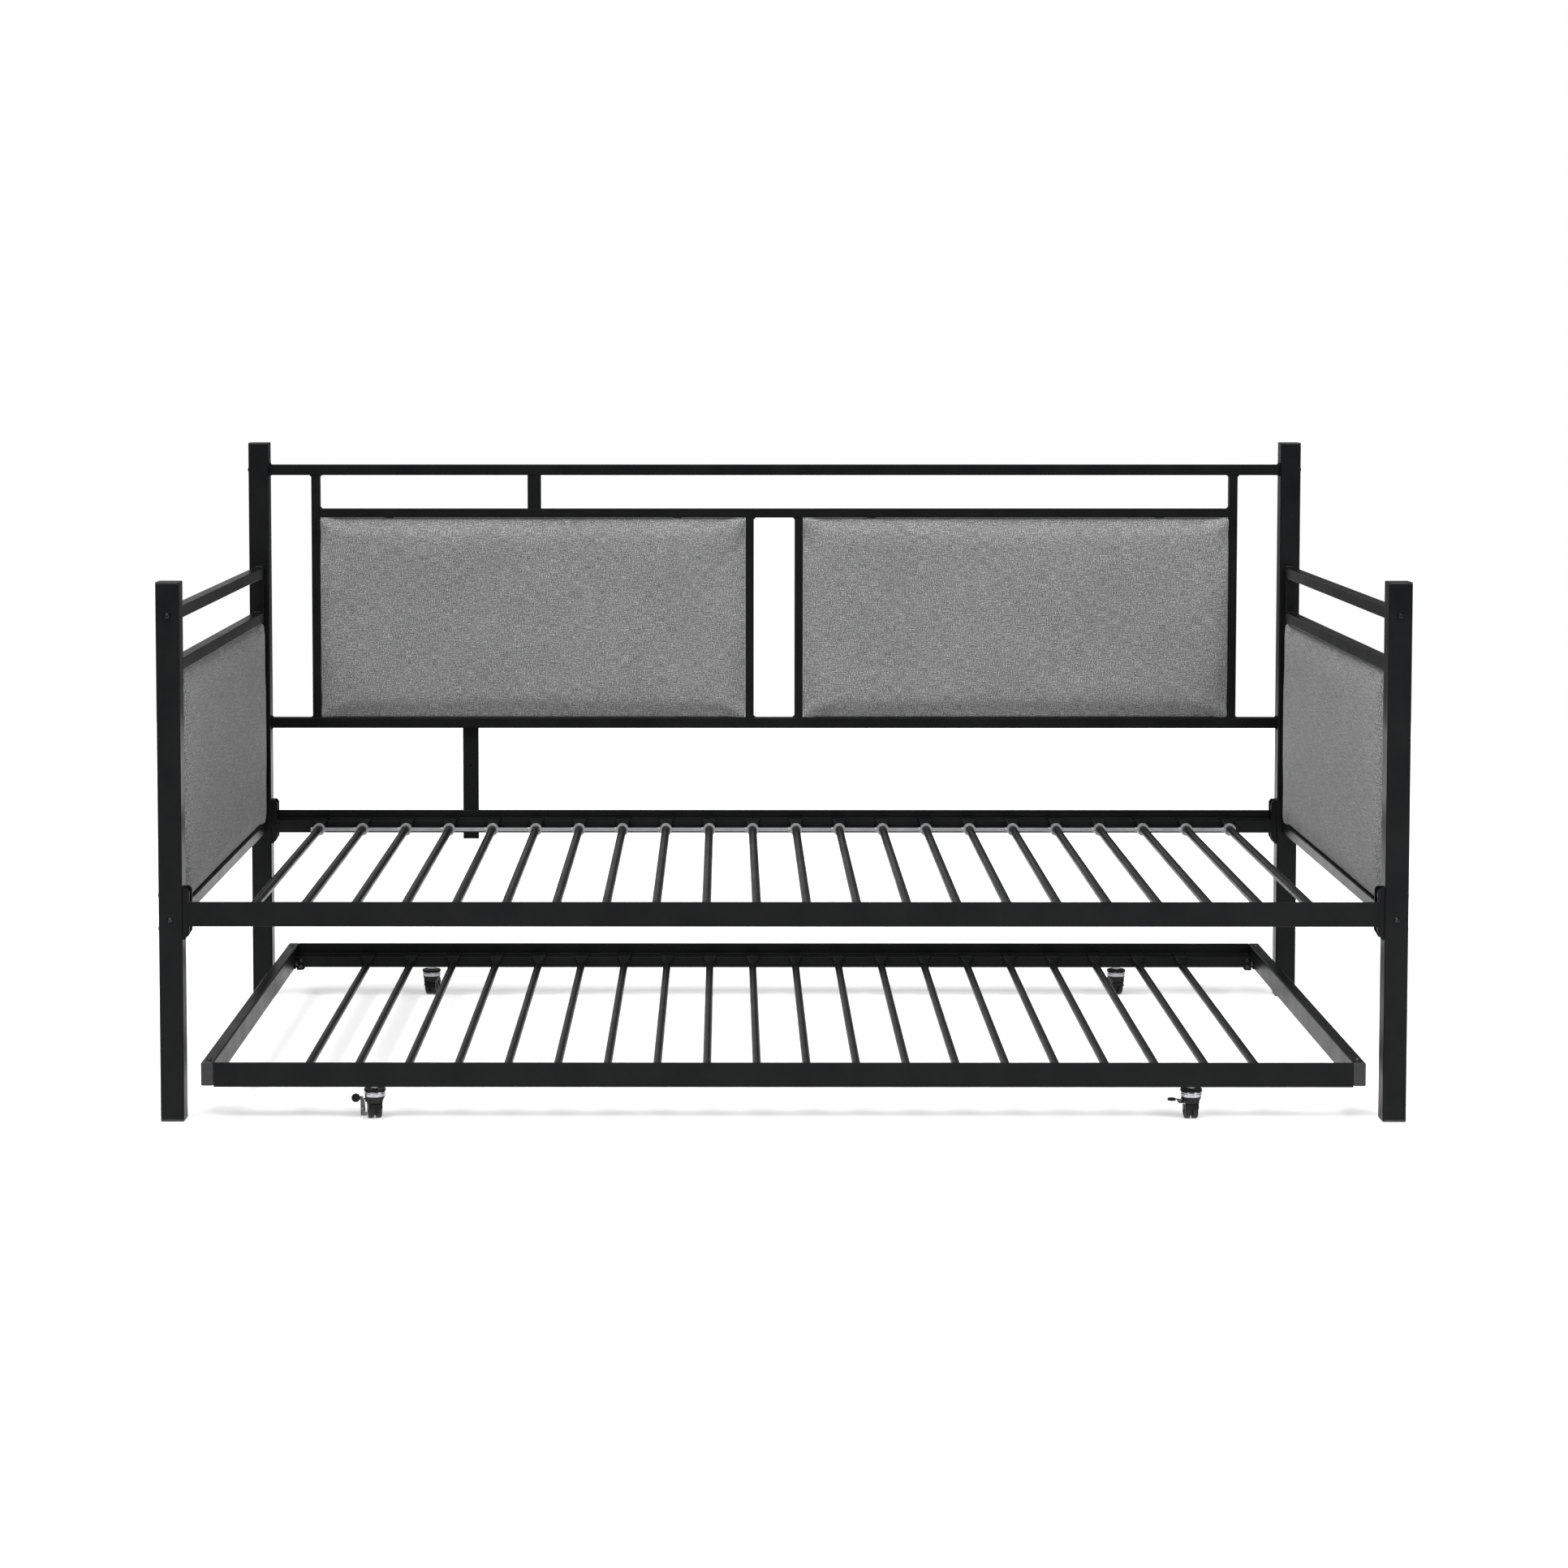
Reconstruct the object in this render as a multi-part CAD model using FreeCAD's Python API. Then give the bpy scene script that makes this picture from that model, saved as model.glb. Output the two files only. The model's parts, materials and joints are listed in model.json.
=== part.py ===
"""Daybed with a roll-out trundle: tubular steel frame, upholstered arms and back, slatted decks, casters."""

import FreeCAD, Part
import math
import os

from FreeCAD import Placement, Rotation, Vector

os.makedirs("parts", exist_ok=True)

# ---- overall size, mm; +X along the bed, +Y to the back, +Z up, origin on the floor under the middle ----
LENGTH = 2000.0
DEPTH = 1040.0
POST = 38.0
POST_WALL = 1.2
POST_CORNER = 3.0
FRONT_HEIGHT = 869.0
BACK_HEIGHT = 1062.0
CAP_HEIGHT = 3.0
GLIDE_HEIGHT = 4.0

# ---- tubes of the arms and of the backrest ----
TUBE = 20.0
STILE = 16.0
TUBE_WALL = 1.2
TUBE_CORNER = 1.8
ARM_TOP = 825.0
ARM_MID_TOP = 740.0
ARM_BOTTOM = 317.0
BACK_TOP = 1020.0
BACK_MID_TOP = 936.0
BACK_MID_HEIGHT = 17.0
BACK_BOTTOM = 516.0
OUTER_STILE_X = 874.0
INNER_STILE_X = 47.0
STRUT_X = -457.5
STRUT_WIDTH = 25.0
LEG_X = -582.0
LEG_WIDTH = 30.0
LEG_THICK = 8.0
LEG_BOTTOM = 300.0

# ---- upholstery ----
PAD_THICK = 22.0
PAD_GAP = 0.3
PAD_INSET = 7.0
PAD_CORNER = 8.0
BOARD_THICK = 4.0

# ---- main deck ----
DECK_RAIL_BOTTOM = 316.0
RAIL_HEIGHT = 40.0
RAIL_WALL = 1.2
FLANGE_THICK = 3.0
DECK_LEDGE_HEIGHT = 24.0
DECK_LEDGE_DEPTH = 30.0
DECK_FRONT = -518.0
DECK_BACK = 511.0
BRACKET_OUT = 11.0
BRACKET_HEIGHT = 83.0
BRACKET_DEPTH = 30.0
BRACKET_PLATE = 2.5
SLAT_COUNT = 22
SLAT_SPACING = 82.6
SLAT_RADIUS = 7.75
SLAT_WALL = 1.0
SLAT_END_WIDTH = 28.0
SLAT_END_THICK = 3.0
SLAT_DROP = 14.0
LINK_RADIUS = 11.5
LINK_WIDTH = 9.0

# ---- trundle ----
TRUNDLE_LENGTH = 1870.0
TRUNDLE_DEPTH = 1036.0
TRUNDLE_BOTTOM = 56.0
TRUNDLE_LEDGE_HEIGHT = 20.0
TRUNDLE_LEDGE_DEPTH = 38.0
END_RAIL_WIDTH = 20.0
END_RAIL_HEIGHT = 38.0
PLATE_WIDTH = 16.0
TRUNDLE_SLAT_COUNT = 20
TRUNDLE_SLAT_SPACING = 82.0
TRUNDLE_SLAT_RADIUS = 7.0

# ---- casters ----
CASTER_X = 658.0
CASTER_Y = 496.0
WHEEL_RADIUS = 17.0
WHEEL_HALF_WIDTH = 10.8
WEB_HALF = 1.8
AXLE_RADIUS = 2.5
AXLE_HALF = 8.0
TRAIL = 6.0
CUP_BOTTOM = 38.0
CUP_TOP = 46.5
CUP_RADIUS = 17.0
DISC_TOP = 49.6
STEM_RADIUS = 4.0
RUNNING = 0.05
BOSS_IN = 11.2
BOSS_OUT = 15.6
PIVOT_HEIGHT = 31.0
EAR = 1.2
STRAP_WIDTH = 6.5
STRAP_LENGTH = 25.0
PEDAL_RADIUS = 7.0
PEDAL_THICK = 3.6

# ---- fasteners ----
BOLT_RADIUS = 3.0
HEAD_RADIUS = 5.2
HEAD_HEIGHT = 3.3
NUT_SIDE = 17.2
NUT_THICK = 8.0

X = Vector(1, 0, 0)
Y = Vector(0, 1, 0)
Z = Vector(0, 0, 1)
HALF_L = LENGTH / 2
HALF_D = DEPTH / 2
POST_X = HALF_L - POST / 2
POST_Y = HALF_D - POST / 2
INNER_X = HALF_L - POST
INNER_Y = HALF_D - POST


def box(x0, x1, y0, y1, z0, z1):
    """Block between two corners."""
    low = Vector(min(x0, x1), min(y0, y1), min(z0, z1))
    return Part.makeBox(abs(x1 - x0), abs(y1 - y0), abs(z1 - z0), low)


def rounded_profile(w, h, r):
    """Rounded rectangle wire centred on the origin in the XY plane."""
    a = w / 2
    b = h / 2
    k = r * (1 - math.sqrt(0.5))
    edges = []
    for sx, sy in ((1, 1), (-1, 1), (-1, -1), (1, -1)):
        ends = (Vector(sx * a, sy * (b - r), 0), Vector(sx * (a - r), sy * b, 0))
        middle = Vector(sx * (a - k), sy * (b - k), 0)
        if sx * sy < 0:
            ends = (ends[1], ends[0])
        edges.append(Part.Arc(ends[0], middle, ends[1]).toShape())
    wire = []
    for i, arc in enumerate(edges):
        wire.append(arc)
        following = edges[(i + 1) % 4]
        wire.append(Part.makeLine(arc.Vertexes[-1].Point, following.Vertexes[0].Point))
    return Part.Wire(Part.__sortEdges__(wire))


def rounded_bar(w, h, r, length):
    """Solid bar with rounded corners along +Z from the origin."""
    return Part.Face(rounded_profile(w, h, r)).extrude(Vector(0, 0, length))


def tube(w, h, wall, r, length):
    """Hollow rectangular tube with rounded corners along +Z."""
    hollow = rounded_bar(w - 2 * wall, h - 2 * wall, max(r - wall, 0.4), length + 2)
    hollow.translate(Vector(0, 0, -1))
    return rounded_bar(w, h, r, length).cut(hollow)


def along(shape, axis, at):
    """Turn a shape built along +Z so it runs along axis, then move it."""
    turned = shape.copy()
    if axis == "x":
        turned.rotate(Vector(), Y, 90)
    elif axis == "y":
        turned.rotate(Vector(), X, -90)
    turned.translate(Vector(*at))
    return turned


def pipe(r, length, axis, at):
    """Round rod along an axis."""
    return along(Part.makeCylinder(r, length), axis, at)


def mirrored(shape, axis):
    """Mirror copy across a plane through the origin."""
    return shape.mirror(Vector(), X if axis == "x" else Y)


def group(shapes):
    """Separate solids that share one node."""
    solids = []
    for shape in shapes:
        solids.extend(shape.Solids)
    return solids[0] if len(solids) == 1 else Part.makeCompound(solids)


# ------------------------------------------------------------------ posts


def post(sx, sy, height):
    """Square corner post with clearance holes for its frame bolts."""
    body = tube(POST, POST, POST_WALL, POST_CORNER, height - CAP_HEIGHT - GLIDE_HEIGHT)
    body.translate(Vector(sx * POST_X, sy * POST_Y, GLIDE_HEIGHT))
    hole = BOLT_RADIUS + 0.3
    for z in (ARM_BOTTOM + TUBE / 2, ARM_TOP - TUBE / 2):
        body = body.cut(pipe(hole, POST + 2, "y", (sx * POST_X, sy * POST_Y - POST / 2 - 1, z)))
    levels = list(rail_bolt_levels())
    if sy > 0:
        levels += [BACK_BOTTOM + TUBE / 2, BACK_TOP - TUBE / 2]
    for z in levels:
        body = body.cut(pipe(hole, POST + 2, "x", (sx * POST_X - POST / 2 - 1, sy * POST_Y, z)))
    return body


def post_cap(height):
    """Plastic cap with a softly rounded top edge and a plug that grips the tube."""
    top = rounded_bar(POST, POST, POST_CORNER, CAP_HEIGHT)
    top.translate(Vector(0, 0, height - CAP_HEIGHT))
    rim = [e for e in top.Edges if e.BoundBox.ZMin > height - 0.01]
    top = top.makeFillet(1.4, rim)
    inner = POST - 2 * POST_WALL - 0.2
    plug = rounded_bar(inner, inner, 1.6, 14)
    plug.translate(Vector(0, 0, height - CAP_HEIGHT - 14))
    return top.fuse(plug).removeSplitter()


def post_glide():
    """Plastic foot with a plug that grips the tube."""
    foot = rounded_bar(POST, POST, POST_CORNER, GLIDE_HEIGHT)
    rim = [e for e in foot.Edges if e.BoundBox.ZMax < 0.01]
    foot = foot.makeFillet(1.2, rim)
    inner = POST - 2 * POST_WALL - 0.2
    plug = rounded_bar(inner, inner, 1.6, 16)
    plug.translate(Vector(0, 0, GLIDE_HEIGHT))
    return foot.fuse(plug).removeSplitter()


def post_positions():
    """Post signs and heights: front left, front right, back left, back right."""
    return [(-1, -1, FRONT_HEIGHT), (1, -1, FRONT_HEIGHT), (-1, 1, BACK_HEIGHT), (1, 1, BACK_HEIGHT)]


# ------------------------------------------------------------------ frames


def arm_frame(sx):
    """Five square tubes: three rails across the bed's depth and two stiles."""
    x = sx * POST_X
    rail = tube(TUBE, TUBE, TUBE_WALL, TUBE_CORNER, 2 * INNER_Y)
    short = tube(TUBE, TUBE, TUBE_WALL, TUBE_CORNER, 2 * INNER_Y - 2 * TUBE)
    stile_length = ARM_TOP - ARM_BOTTOM - 2 * TUBE
    stile = tube(TUBE, TUBE, TUBE_WALL, TUBE_CORNER, stile_length)
    parts = [along(rail, "y", (x, -INNER_Y, ARM_TOP - TUBE / 2))]
    parts.append(along(rail, "y", (x, -INNER_Y, ARM_BOTTOM + TUBE / 2)))
    parts.append(along(short, "y", (x, -INNER_Y + TUBE, ARM_MID_TOP - TUBE / 2)))
    for sy in (-1, 1):
        parts.append(along(stile, "z", (x, sy * (INNER_Y - TUBE / 2), ARM_BOTTOM + TUBE)))
    return group(parts)


def backrest_frame():
    """Two long rails between the back posts, a middle rail and four stiles."""
    y = POST_Y
    rail = tube(TUBE, TUBE, TUBE_WALL, TUBE_CORNER, 2 * INNER_X)
    parts = [along(rail, "x", (-INNER_X, y, BACK_TOP - TUBE / 2))]
    parts.append(along(rail, "x", (-INNER_X, y, BACK_BOTTOM + TUBE / 2)))
    reach = OUTER_STILE_X - STILE / 2
    middle = tube(BACK_MID_HEIGHT, TUBE, TUBE_WALL, TUBE_CORNER, 2 * reach)
    parts.append(along(middle, "x", (-reach, y, BACK_MID_TOP - BACK_MID_HEIGHT / 2)))
    tall = tube(STILE, TUBE, TUBE_WALL, TUBE_CORNER, BACK_TOP - BACK_BOTTOM - 2 * TUBE)
    short_length = BACK_MID_TOP - BACK_MID_HEIGHT - BACK_BOTTOM - TUBE
    short = tube(STILE, TUBE, TUBE_WALL, TUBE_CORNER, short_length)
    for sx in (-1, 1):
        parts.append(along(tall, "z", (sx * OUTER_STILE_X, y, BACK_BOTTOM + TUBE)))
        parts.append(along(short, "z", (sx * INNER_STILE_X, y, BACK_BOTTOM + TUBE)))
    return group(parts)


def upper_strut():
    """Short tube between the backrest's top and middle rails."""
    bar = tube(STRUT_WIDTH, TUBE, TUBE_WALL, TUBE_CORNER, BACK_TOP - TUBE - BACK_MID_TOP)
    return along(bar, "z", (STRUT_X, POST_Y, BACK_MID_TOP))


def leg_screw_levels():
    """Heights where the leg is screwed to the backrest rail and to the deck rail."""
    return [BACK_BOTTOM + TUBE / 2, DECK_RAIL_BOTTOM + DECK_LEDGE_HEIGHT / 2]


def leg_centre_y():
    """The leg lies flat against the back faces of the backrest rail and the deck rail."""
    return DECK_BACK + LEG_THICK / 2 + 0.1


def lower_leg():
    """Flat tube that ties the backrest's bottom rail down to the back side rail."""
    y = leg_centre_y()
    bar = tube(LEG_WIDTH, LEG_THICK, TUBE_WALL, 1.5, BACK_BOTTOM + TUBE - LEG_BOTTOM)
    bar = along(bar, "z", (LEG_X, y, LEG_BOTTOM))
    bar = bar.cut(pipe(2.2, LEG_THICK / 2, "y", (LEG_X, y - LEG_THICK / 2 - 2, 442)))
    for z in leg_screw_levels():
        bar = bar.cut(pipe(2.6, LEG_THICK + 4, "y", (LEG_X, y - LEG_THICK / 2 - 2, z)))
    return bar


def leg_screws():
    """Pan-head screws through the leg, seated on its outer wall."""
    parts = []
    outer = leg_centre_y() + LEG_THICK / 2
    for z in leg_screw_levels():
        head = Part.makeCone(4.2, 3.0, 1.2)
        shank = Part.makeCylinder(2.3, LEG_THICK - 0.2, Vector(0, 0, -LEG_THICK + 0.2))
        parts.append(along(head.fuse(shank), "y", (LEG_X, outer, z)))
    return group(parts)


# ------------------------------------------------------------------ upholstery


def cushion(w, h, thick):
    """Soft block with rounded outline corners and softened faces, built along +Z."""
    pad = rounded_bar(w, h, PAD_CORNER, thick)
    edges = [e for e in pad.Edges if e.BoundBox.ZLength < 0.01]
    return pad.makeFillet(6.0, edges)


def arm_pad(sx):
    """Upholstered panel between the arm's middle and bottom rails, facing inwards."""
    w = 2 * (INNER_Y - TUBE - PAD_GAP)
    low = ARM_BOTTOM + TUBE + PAD_GAP
    high = ARM_MID_TOP - TUBE - PAD_GAP
    pad = cushion(w, high - low, PAD_THICK)
    pad.rotate(Vector(), Z, 90)
    pad.rotate(Vector(), Y, 90)
    pad.translate(Vector(sx * (POST_X - PAD_INSET) - PAD_THICK / 2, 0, (low + high) / 2))
    return pad


def arm_pad_board(sx):
    """Thin board that backs the arm pad on its outer side."""
    w = INNER_Y - TUBE - 1.0
    face = sx * (POST_X - PAD_INSET + PAD_THICK / 2 + PAD_GAP)
    low = ARM_BOTTOM + TUBE + 1.0
    high = ARM_MID_TOP - TUBE - 1.0
    return box(face, face + sx * BOARD_THICK, -w, w, low, high)


def back_pad_span():
    """X limits of one backrest opening."""
    return INNER_STILE_X + STILE / 2, OUTER_STILE_X - STILE / 2


def back_pad_front():
    """Y of the backrest pads' front face."""
    return POST_Y - TUBE / 2 - 9.0


def backrest_pad(sx):
    """Upholstered panel in one backrest opening, facing the front."""
    x0, x1 = back_pad_span()
    low = BACK_BOTTOM + TUBE + PAD_GAP
    high = BACK_MID_TOP - BACK_MID_HEIGHT - PAD_GAP
    pad = cushion(x1 - x0 - 2 * PAD_GAP, high - low, PAD_THICK)
    pad.rotate(Vector(), X, -90)
    pad.translate(Vector(sx * (x0 + x1) / 2, back_pad_front(), (low + high) / 2))
    return pad


def backrest_pad_board(sx):
    """Thin board that backs one backrest pad."""
    x0, x1 = back_pad_span()
    y = back_pad_front() + PAD_THICK + PAD_GAP
    low = BACK_BOTTOM + TUBE + 1.0
    high = BACK_MID_TOP - BACK_MID_HEIGHT - 1.0
    return box(sx * (x0 + 1), sx * (x1 - 1), y, y + BOARD_THICK, low, high)


def tab_plate():
    """Small steel tab with a screw hole, flat in the XY plane, welded along its lower edge."""
    tab = rounded_bar(18, 14, 3.0, 1.6)
    return tab.cut(Part.makeCylinder(2.2, 4, Vector(0, 0, -1)))


def tab_seats():
    """Centres of the tabs: on the outer face of every board, near its corners."""
    seats = []
    z0 = BACK_BOTTOM + TUBE + 7.0
    z1 = BACK_MID_TOP - BACK_MID_HEIGHT - 7.0
    y = back_pad_front() + PAD_THICK + PAD_GAP + BOARD_THICK
    x0, x1 = back_pad_span()
    for sx in (-1, 1):
        for x in (x0 + 130, x1 - 130):
            for z in (z0, z1):
                seats.append(("y", 1, Vector(sx * x, y, z)))
    a0 = ARM_BOTTOM + TUBE + 7.0
    a1 = ARM_MID_TOP - TUBE - 7.0
    for sx in (-1, 1):
        face = sx * (POST_X - PAD_INSET + PAD_THICK / 2 + PAD_GAP + BOARD_THICK)
        for sy in (-1, 1):
            for z in (a0, a1):
                seats.append(("x", sx, Vector(face, sy * 280, z)))
    return seats


def face_outwards(shape, axis, sign):
    """Turn a shape whose outward side is +Z to face along +Y or along +X or -X."""
    turned = shape.copy()
    if axis == "y":
        turned.rotate(Vector(), X, -90)
    else:
        turned.rotate(Vector(), Z, 90)
        turned.rotate(Vector(), Y, 90 * sign)
    return turned


def board_tabs():
    """Tabs welded to the frames' rails behind the boards."""
    parts = []
    for axis, sign, at in tab_seats():
        tab = face_outwards(tab_plate(), axis, sign)
        tab.translate(at)
        parts.append(tab)
    return group(parts)


def board_screws():
    """Screws through the tabs into the boards."""
    parts = []
    for axis, sign, at in tab_seats():
        head = Part.makeCone(3.6, 2.6, 1.3, Vector(0, 0, 1.6))
        screw = head.fuse(Part.makeCylinder(1.9, 1.6))
        screw = face_outwards(screw, axis, sign)
        screw.translate(at)
        parts.append(screw)
    return group(parts)


# ------------------------------------------------------------------ rails and slats


def stepped_rail(length, ledge_height, ledge_depth):
    """Closed roll-formed rail along +X: a low box with an upstanding outer flange.

    The outer face is the plane y = 0, the box reaches towards +y, and the bottom is z = 0.
    """
    r = 1.5
    outer = [(0, 0), (ledge_depth, 0), (ledge_depth, ledge_height), (FLANGE_THICK, ledge_height)]
    outer += [(FLANGE_THICK, RAIL_HEIGHT), (0, RAIL_HEIGHT)]
    wire = Part.makePolygon([Vector(0, y, z) for y, z in outer + outer[:1]])
    bar = Part.Face(wire).extrude(Vector(length, 0, 0))
    rim = [e for e in bar.Edges if e.BoundBox.XLength > length - 1]
    bar = bar.makeFillet(r - 0.1, rim)
    w = RAIL_WALL
    hollow = box(-1, length + 1, w, ledge_depth - w, w, ledge_height - w)
    return bar.cut(hollow)


def deck_rail(sy):
    """Front or back side rail of the main deck."""
    length = 2 * (INNER_X - BRACKET_OUT)
    rail = stepped_rail(length, DECK_LEDGE_HEIGHT, DECK_LEDGE_DEPTH)
    rail.translate(Vector(-length / 2, 0, DECK_RAIL_BOTTOM))
    if sy < 0:
        rail.translate(Vector(0, DECK_FRONT, 0))
        return rail
    rail = mirrored(rail, "y")
    rail.translate(Vector(0, DECK_BACK, 0))
    rail = rail.cut(pipe(2.6, RAIL_WALL + 2, "y", (LEG_X, DECK_BACK - RAIL_WALL - 1, leg_screw_levels()[1])))
    return rail


def rail_bolt_levels():
    """Heights of the two bolts in each end bracket."""
    middle = DECK_RAIL_BOTTOM + RAIL_HEIGHT / 2
    return middle - 26.0, middle + 28.0


def end_bracket():
    """Folded bracket for the left front corner: a plate on the post and two side flanges.

    Its plate lies at x = 0 and it reaches towards +x; centred on y = 0 and z = 0.
    """
    half = BRACKET_HEIGHT / 2
    half_d = BRACKET_DEPTH / 2
    plate = box(0, BRACKET_PLATE, -half_d, half_d, -half, half)
    for z in rail_bolt_levels():
        plate = plate.cut(pipe(BOLT_RADIUS + 0.3, 6, "x", (-1, 0, z - DECK_RAIL_BOTTOM - RAIL_HEIGHT / 2)))
    outline = [(0, -half), (4, -half), (BRACKET_OUT, -half + 12), (BRACKET_OUT, half - 5), (7, half), (0, half)]
    bracket = plate
    for y in (-half_d, half_d - BRACKET_PLATE):
        wire = Part.makePolygon([Vector(px, y, pz) for px, pz in outline + outline[:1]])
        bracket = bracket.fuse(Part.Face(wire).extrude(Vector(0, BRACKET_PLATE, 0)))
    return bracket.removeSplitter()


def deck_brackets():
    """Four end brackets on the posts' inner faces."""
    parts = []
    z = DECK_RAIL_BOTTOM + RAIL_HEIGHT / 2
    for sy in (-1, 1):
        left = end_bracket()
        left.translate(Vector(-INNER_X, sy * POST_Y, z))
        parts.append(left)
        parts.append(mirrored(left, "x"))
    return group(parts)


def square_wire(w, h, z):
    """Rectangle wire at height z, starting at its +X +Y corner."""
    pts = [Vector(sx * w / 2, sy * h / 2, z) for sx, sy in ((1, 1), (-1, 1), (-1, -1), (1, -1))]
    return Part.makePolygon(pts + pts[:1])


def round_wire(r, z):
    """Circle wire in four arcs whose ends face the corners of a rectangle."""
    edges = []
    for i in range(4):
        a = math.radians(45 + 90 * i)
        b = a + math.pi / 4
        c = a + math.pi / 2
        pts = [Vector(r * math.cos(t), r * math.sin(t), z) for t in (a, b, c)]
        edges.append(Part.Arc(*pts).toShape())
    return Part.Wire(edges)


def slat(front, back, radius, end_width, ledge_depth):
    """Round tube along +Y with flattened, raised ends that lie on the rails' ledges.

    The flattened ends' undersides are z = 0; front and back are the flanges' inner faces.
    """
    lap = ledge_depth - FLANGE_THICK + 3.0
    flat0 = front + PAD_GAP
    flat1 = back - PAD_GAP
    neck = 16.0
    t0 = front + lap + neck
    t1 = back - lap - neck
    middle = -SLAT_DROP
    rod = pipe(radius, t1 - t0, "y", (0, t0, middle))
    top = SLAT_END_THICK / 2
    neck_shape = Part.makeLoft([round_wire(radius, 0), square_wire(end_width, SLAT_END_THICK, neck)], True, True)
    lean = top - middle
    shear = FreeCAD.Matrix()
    shear.A23 = -lean / neck
    neck_shape = neck_shape.transformGeometry(shear)
    back_neck = neck_shape.copy()
    back_neck.rotate(Vector(), X, -90)
    back_neck.translate(Vector(0, t1, middle))
    front_neck = back_neck.mirror(Vector(0, (t0 + t1) / 2, 0), Y)
    w = end_width / 2
    plates = [box(-w, w, flat0, t0 - neck, 0, SLAT_END_THICK)]
    plates.append(box(-w, w, t1 + neck, flat1, 0, SLAT_END_THICK))
    body = rod.multiFuse([front_neck, back_neck] + plates)
    bore = pipe(radius - SLAT_WALL, t1 - t0 - 4, "y", (0, t0 + 2, middle))
    return body.cut(bore).removeSplitter()


def spread(shape, count, spacing):
    """Copies in a row along X, centred on the origin."""
    parts = []
    for i in range(count):
        copy = shape.copy()
        copy.translate(Vector((i - (count - 1) / 2) * spacing, 0, 0))
        parts.append(copy)
    return parts


def deck_slats():
    """Slats of the main deck."""
    one = slat(DECK_FRONT + FLANGE_THICK, DECK_BACK - FLANGE_THICK, SLAT_RADIUS, SLAT_END_WIDTH, DECK_LEDGE_DEPTH)
    one.translate(Vector(0, 0, DECK_RAIL_BOTTOM + DECK_LEDGE_HEIGHT))
    return group(spread(one, SLAT_COUNT, SLAT_SPACING))


def trundle_slats():
    """Slats of the trundle."""
    half = TRUNDLE_DEPTH / 2 - FLANGE_THICK
    one = slat(-half, half, TRUNDLE_SLAT_RADIUS, SLAT_END_WIDTH - 2, TRUNDLE_LEDGE_DEPTH)
    one.translate(Vector(0, 0, TRUNDLE_BOTTOM + TRUNDLE_LEDGE_HEIGHT))
    return group(spread(one, TRUNDLE_SLAT_COUNT, TRUNDLE_SLAT_SPACING))


def slat_link(last):
    """Plastic spacer link: a ring round the slat, a socket on its left and a grooved bar on its right."""
    half = LINK_WIDTH / 2
    ring = pipe(LINK_RADIUS, LINK_WIDTH, "y", (0, -half, 0))
    socket = pipe(4.0, 6.0, "x", (-LINK_RADIUS - 4.0, 0, 0))
    body = ring.fuse(socket)
    if not last:
        reach = SLAT_SPACING - LINK_RADIUS - 4.0 - 0.3
        bar = box(LINK_RADIUS - 2, reach, -2.5, 2.5, -3, 3)
        for y in (-3.1, 1.9):
            bar = bar.cut(box(LINK_RADIUS + 4, reach - 5, y, y + 1.2, -0.9, 0.9))
        body = body.fuse(bar)
    return body.cut(pipe(SLAT_RADIUS + 0.1, LINK_WIDTH + 2, "y", (0, -half - 1, 0)))


def slat_links(y):
    """Chain of links along one side of the main deck."""
    parts = []
    z = DECK_RAIL_BOTTOM + DECK_LEDGE_HEIGHT - SLAT_DROP
    for i in range(SLAT_COUNT):
        link = slat_link(i == SLAT_COUNT - 1)
        link.translate(Vector((i - (SLAT_COUNT - 1) / 2) * SLAT_SPACING, y, z))
        parts.append(link)
    return group(parts)


# ------------------------------------------------------------------ frame fasteners


def button_bolt(shank):
    """Button-head bolt along +Z: the head's underside is z = 0 and the shank goes down."""
    dome = Part.makeCone(HEAD_RADIUS, HEAD_RADIUS * 0.62, HEAD_HEIGHT)
    rim = [e for e in dome.Edges if e.BoundBox.ZMin > HEAD_HEIGHT - 0.01]
    dome = dome.makeFillet(1.0, rim)
    points = []
    for i in range(7):
        a = math.radians(60 * i)
        points.append(Vector(2.3 * math.cos(a), 2.3 * math.sin(a), HEAD_HEIGHT - 2.2))
    socket = Part.Face(Part.makePolygon(points)).extrude(Vector(0, 0, 3))
    bolt = dome.cut(socket)
    return bolt.fuse(Part.makeCylinder(BOLT_RADIUS, shank, Vector(0, 0, -shank)))


def point_along(shape, direction, at):
    """Turn +Z to a direction along +X, -X, +Y or -Y, then move."""
    turned = shape.copy()
    turned.Placement = Placement(Vector(*at), Rotation(Z, direction)).multiply(turned.Placement)
    return turned


def frame_bolts():
    """Bolts of the arms through the four posts, and of the backrest through the back posts."""
    parts = []
    bolt = button_bolt(POST + 13)
    for sx in (-1, 1):
        for sy in (-1, 1):
            for z in (ARM_BOTTOM + TUBE / 2, ARM_TOP - TUBE / 2):
                parts.append(point_along(bolt, Y * sy, (sx * POST_X, sy * HALF_D, z)))
        for z in (BACK_BOTTOM + TUBE / 2, BACK_TOP - TUBE / 2):
            parts.append(point_along(bolt, X * sx, (sx * HALF_L, POST_Y, z)))
    return group(parts)


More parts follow.
